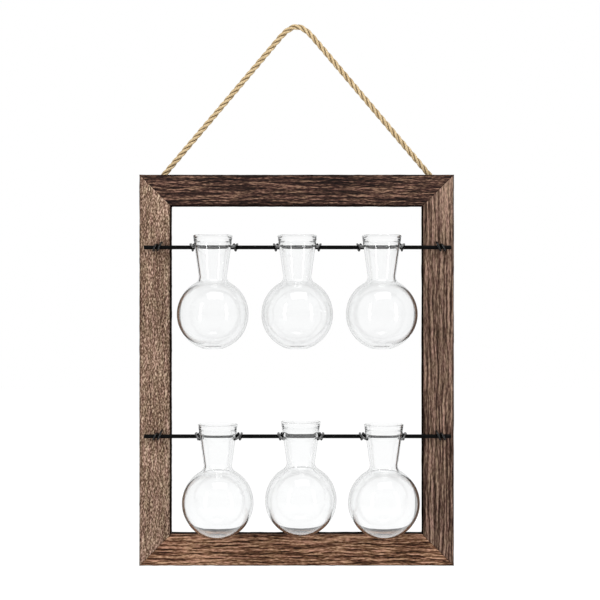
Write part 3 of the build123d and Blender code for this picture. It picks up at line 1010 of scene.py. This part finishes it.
@dataclass
class RopeHanger:
    """The jute rope that the frame hangs from, its stopper knots and frayed tails, and its staples.

    The loose fibres' reach, lift and curl are in millimetres.
    """

    diameter: float = 4.5 * MM
    half_end: tuple[float, float] = (128.64 * MM, -142.05 * MM)
    half_top: tuple[float, float] = (6.70 * MM, 2.25 * MM)
    lead: float = 27 * MM
    knot_offset: float = 1.0 * MM
    knot_radius: float = 3.05 * MM
    knot_strand: float = 3.5 * MM
    knot_start: float = 1.7 * MM
    knot_length: float = 8.5 * MM
    knot_turns: float = 2.0
    knot_pitch: float = 14 * MM
    knot_step: float = 0.5 * MM
    wood_gap: float = -2.25 * MM
    tail_length: float = 12.6 * MM
    tail_diameter: float = 3.9 * MM
    tail_pitch: float = 17 * MM
    tail_spread: tuple[float, ...] = (0.9, 0.9, 0.95, 1.0, 1.25)
    fibre_count: int = 900
    fibre_radius: float = 0.05 * MM
    fibre_margin: float = 2 * MM
    fibre_start: float = 0.42
    fibre_reach: tuple[float, float] = (1.2, 3.6)
    fibre_lift: tuple[float, float] = (0.15, 0.75)
    fibre_curl: tuple[float, float] = (-0.5, 0.5)
    fibre_taper: float = 0.7
    fibre_rings: int = 4
    fibre_sides: int = 3
    seed: int = 7
    jute: bpy.types.Material | None = None

    def route(self) -> np.ndarray:
        """Return the rope's smooth line, read from a NURBS spline through the route's points."""
        end_x, end_z = self.half_end
        top_x, top_z = self.half_top
        run = Vector((end_x - top_x, 0, end_z - top_z)).normalized() * self.lead
        half = [(top_x, top_z), (top_x + run.x, top_z + run.z), (end_x, end_z)]
        points = [(-x, 0, z) for x, z in half[::-1]] + [(x, 0, z) for x, z in half]
        curve = bpy.data.curves.new("rope route", "CURVE")
        curve.dimensions = "3D"
        curve.resolution_u = 48
        spline = curve.splines.new("NURBS")
        spline.points.add(len(points) - 1)
        for control, point in zip(spline.points, points):
            control.co = (*point, 1.0)
        spline.order_u = 3
        spline.use_endpoint_u = True
        holder = bpy.data.objects.new("rope route", curve)
        mesh = bpy.data.meshes.new_from_object(holder)
        line = np.array([vertex.co[:] for vertex in mesh.vertices])
        bpy.data.meshes.remove(mesh)
        bpy.data.objects.remove(holder)
        bpy.data.curves.remove(curve)
        return line

    def knot(self, side: int, name: str) -> tuple[bpy.types.Object, bpy.types.Object]:
        """Build a stopper knot of two turns round the rope, with a frayed tail.

        Args:
            side: -1 for the left, 1 for the right.
            name: Name of the piece.

        Returns:
            The turns and the tail.
        """
        end = Vector((side * self.half_end[0], 0, self.half_end[1]))
        outwards = Vector(
            (side * (self.half_end[0] - self.half_top[0]), 0, self.half_end[1] - self.half_top[1])
        ).normalized()
        backwards = Vector((0, 1, 0))
        across = outwards.cross(backwards)
        start = end + backwards * self.knot_offset
        turns = np.linspace(0, 1, 160)
        angle = 2 * math.pi * self.knot_turns * turns
        sweep = self.knot_start + (self.knot_length - 2 * self.knot_start) * turns
        path = (
            np.array(start)
            + sweep[:, None] * np.array(outwards)
            + (self.knot_radius * np.cos(angle))[:, None] * np.array(across)
            + (self.knot_radius * np.sin(angle))[:, None] * np.array(backwards)
        )
        coil = LaidRope(self.knot_strand, pitch=self.knot_pitch, step=self.knot_step).build(name, path)
        tail_line = np.array([
            end,
            end + outwards * self.knot_length * 0.5 + backwards * self.knot_offset * 0.5,
            end + outwards * self.knot_length + backwards * self.knot_offset,
            end + outwards * self.tail_length + backwards * self.knot_offset,
        ])
        tail = LaidRope(self.tail_diameter, pitch=self.tail_pitch, step=self.knot_step).build(
            f"{name}_tail", tail_line, np.array(self.tail_spread)
        )
        for piece in (coil, tail):
            self.press(piece)
            dress(piece, self.jute)
            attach(piece, "frame")
        log.info("%s: %d faces, tail %d faces", name, len(coil.data.polygons), len(tail.data.polygons))
        return coil, tail

    def press(self, piece: bpy.types.Object) -> None:
        """Flatten a piece where it meets the wood."""
        for vertex in piece.data.vertices:
            vertex.co.y = max(vertex.co.y, self.wood_gap)

    def fibres(self, line: np.ndarray) -> bpy.types.Object:
        """Build loose fibres that stand off the rope.

        Args:
            line: The rope's line.

        Returns:
            The dressed piece.
        """
        random = np.random.default_rng(self.seed)
        lengths = distances(line)
        points, faces = [], []
        for _ in range(self.fibre_count):
            place = random.uniform(self.fibre_margin, lengths[-1] - self.fibre_margin)
            base = points_at(place, lengths, line)
            ahead = points_at(place + MM, lengths, line)
            tangent = (ahead - base) / np.linalg.norm(ahead - base)
            angle = random.uniform(0, 2 * math.pi)
            side = np.cross(tangent, (0, 1, 0))
            side = side / np.linalg.norm(side)
            out = side * math.cos(angle) + np.array((0, 1, 0)) * math.sin(angle)
            sign = random.choice((-1, 1))
            reach = random.uniform(*self.fibre_reach) * MM
            lift = random.uniform(*self.fibre_lift) * MM
            across = np.cross(tangent, out)
            curl = across * random.uniform(*self.fibre_curl) * MM
            start = base + out * self.diameter * self.fibre_start
            faces += band_faces(self.fibre_rings, self.fibre_sides, len(points))
            for share in np.linspace(0, 1, self.fibre_rings):
                centre = start + tangent * sign * reach * share + out * lift * share**1.5 + curl * share**2
                radius = self.fibre_radius * (1 - self.fibre_taper * share)
                for corner in range(self.fibre_sides):
                    turn = 2 * math.pi * corner / self.fibre_sides
                    points.append(centre + (out * math.cos(turn) + across * math.sin(turn)) * radius)
        values = {key: np.zeros(len(points)) for key in ("lay", "turn", "valley")}
        piece = mesh_piece("hanger_rope_fibres", np.array(points), faces, values)
        dress(piece, self.jute)
        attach(piece, "frame")
        log.info("%s: %d fibres", piece.name, self.fibre_count)
        return piece

    def build(self) -> None:
        self.jute = JuteYarn("jute").material()
        line = self.route()
        rope = LaidRope(self.diameter).build("hanger_rope_strands", line)
        dress(rope, self.jute)
        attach(rope, "frame")
        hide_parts("hanger_rope")
        pieces = []
        for side, word in ((-1, "left"), (1, "right")):
            coil, tail = self.knot(side, f"{word}_rope_knot_turns")
            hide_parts(f"{word}_rope_knot")
            pieces += [coil, tail]
        pieces.append(self.fibres(line))
        dress(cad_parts["rope_staples"], PlainSteel("staple steel").material())


@dataclass
class BlownBulb:
    """One clear vase: a turned wall with a beaded rim, a blended shoulder and a pushed-in base."""

    node: str
    body: str
    glass: bpy.types.Material
    bulb_radius: float = 31.25 * MM
    base_radius: float = 8.0 * MM
    wall: float = 1.6 * MM
    neck_length: float = 36.0 * MM
    neck_bottom_radius: float = 12.2 * MM
    neck_blend: float = 6.0 * MM
    rim_radius: float = 17.3 * MM
    bead_radius: float = 0.82 * MM
    bead_turn: tuple[float, float] = (0.8, 0.6)
    dimple: float = 0.7 * MM
    foot_steps: tuple[tuple[float, float], ...] = ((0.45, 1.0), (0.70, 0.55), (0.86, 0.10))
    neck_steps: tuple[float, ...] = (0.25, 0.5, 0.75, 1.0)
    around: int = 144
    arc_step: float = math.radians(2.5)

    def arc(self, centre: Vector, start: Vector, end: Vector, clockwise: bool) -> list[Vector]:
        """Points of an arc, both ends included.

        Args:
            centre: Its centre.
            start: Where it starts.
            end: Where it ends.
            clockwise: Which way it turns.

        Returns:
            The points.
        """
        radius = (start - centre).length
        first = math.atan2(start.y - centre.y, start.x - centre.x)
        last = math.atan2(end.y - centre.y, end.x - centre.x)
        if clockwise and last > first:
            last -= 2 * math.pi
        if not clockwise and last < first:
            last += 2 * math.pi
        turns = np.linspace(first, last, max(3, round(abs(last - first) / self.arc_step) + 1))
        return [centre + Vector((math.cos(turn), math.sin(turn))) * radius for turn in turns]

    def skin(self, height: float, inset: float) -> list[Vector]:
        """One skin of the wall, from its floor to just under the rim.

        Args:
            height: The vase's height.
            inset: How far inside the outer skin it lies.

        Returns:
            Points as (radius, height).
        """
        taper = (self.rim_radius - self.neck_bottom_radius) / self.neck_length
        lean = math.atan(taper)
        along = Vector((math.sin(lean), math.cos(lean)))
        outwards = Vector((math.cos(lean), -math.sin(lean)))
        bulb = Vector((0, math.sqrt(self.bulb_radius**2 - self.base_radius**2)))
        middle = Vector((self.neck_bottom_radius, height - self.neck_length)) + outwards * self.neck_blend
        offset = middle - bulb
        reach = self.bulb_radius + self.neck_blend
        slide = math.sqrt(offset.dot(along) ** 2 - offset.length_squared + reach**2) - offset.dot(along)
        blend = middle + along * slide
        radius = self.bulb_radius - inset
        floor = Vector((math.sqrt(radius**2 - (bulb.y - inset) ** 2), inset))
        blend_radius = self.neck_blend + inset
        shoulder = blend + (bulb - blend).normalized() * blend_radius
        neck = blend - outwards * blend_radius
        top = height - self.bead_radius
        points = self.arc(bulb, floor, shoulder, False)
        points += self.arc(blend, shoulder, neck, True)[1:]
        for share in self.neck_steps:
            points.append(neck + Vector(((top - neck.y) * taper, top - neck.y)) * share)
        return points

    def profile(self, height: float) -> list[Vector]:
        """The wall's whole outline: the base, up outside, over the rim, down inside and the floor.

        Args:
            height: The vase's height.

        Returns:
            Points as (radius, height).
        """
        outer = self.skin(height, 0)
        inner = self.skin(height, self.wall)
        base = [Vector((self.base_radius * out, self.dimple * up)) for out, up in self.foot_steps]
        bead = Vector((self.rim_radius - self.wall / 2, height - self.bead_radius))
        side, drop = (self.bead_radius * share for share in self.bead_turn)
        start, end = bead + Vector((side, -drop)), bead + Vector((-side, -drop))
        rim = self.arc(bead, start, end, False)
        outer = [point for point in outer if point.y < start.y]
        inner = [point for point in inner if point.y < end.y]
        floor = [Vector((inner[0].x * 0.5, self.wall))]
        return base + outer + rim + inner[::-1] + floor

    def build(self) -> bpy.types.Object:
        """Turn the profile round the vase's axis, in the place of its node.

        Returns:
            The dressed piece.
        """
        low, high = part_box(self.node)
        axis = (low + high) / 2
        profile = self.profile(high.z - low.z)
        angles = np.linspace(0, 2 * math.pi, self.around, endpoint=False)
        radius, rise = np.array(profile).T[:, :, None]
        rings = np.broadcast_arrays(
            axis.x + radius * np.cos(angles), axis.y + radius * np.sin(angles), low.z + rise
        )
        middles = np.array([(axis.x, axis.y, low.z + level) for level in (self.dimple, self.wall)])
        points = np.concatenate([np.stack(rings, axis=-1).reshape(-1, 3), middles])
        faces = band_faces(len(profile), self.around, capped=False)
        base_middle, floor_middle = len(points) - 2, len(points) - 1
        last = (len(profile) - 1) * self.around
        for step in range(self.around):
            after = (step + 1) % self.around
            faces.append([base_middle, step, after])
            faces.append([floor_middle, last + step, last + after])
        piece = mesh_piece(f"{self.node}_glass", points, faces)
        dress(piece, self.glass)
        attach(piece, self.body)
        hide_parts(self.node)
        log.info("%s: %d faces", piece.name, len(faces))
        return piece


@dataclass
class RodTier:
    """One rod with its two ties, and three clips with their bulbs."""

    tier: str
    lacquer: bpy.types.Material
    wire: bpy.types.Material
    glass: bpy.types.Material
    places: tuple[str, ...] = ("left", "middle", "right")

    def build(self) -> None:
        """Dress the wire pieces and build the bulbs."""
        dress(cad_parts[f"{self.tier}_rod"], self.lacquer)
        wires = [f"{self.tier}_left_tie", f"{self.tier}_right_tie"]
        wires += [f"{self.tier}_{place}_neck_clip" for place in self.places]
        for node in wires:
            dress(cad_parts[node], self.wire)
        log.info("%s: dressed", ", ".join([f"{self.tier}_rod", *wires]))
        for place in self.places:
            BlownBulb(f"{self.tier}_{place}_vase", f"{self.tier}_{place}_bulb", self.glass).build()


def main() -> None:
    """Build the studio and every sub-assembly."""
    logging.basicConfig(level=logging.INFO, format="%(message)s")
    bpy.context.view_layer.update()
    Studio().build()
    RopeHanger().build()
    MitredFrame().build()
    lacquer = BlackLacquer("black lacquer").material()
    wire = BlackLacquer("black wire lacquer", coat=0.5, coat_roughness=0.05).material()
    glass = ClearGlass("clear glass").material()
    for tier in ("upper", "lower"):
        RodTier(tier, lacquer, wire, glass).build()
    log.info("boxes written")


if __name__ == "__main__":
    main()
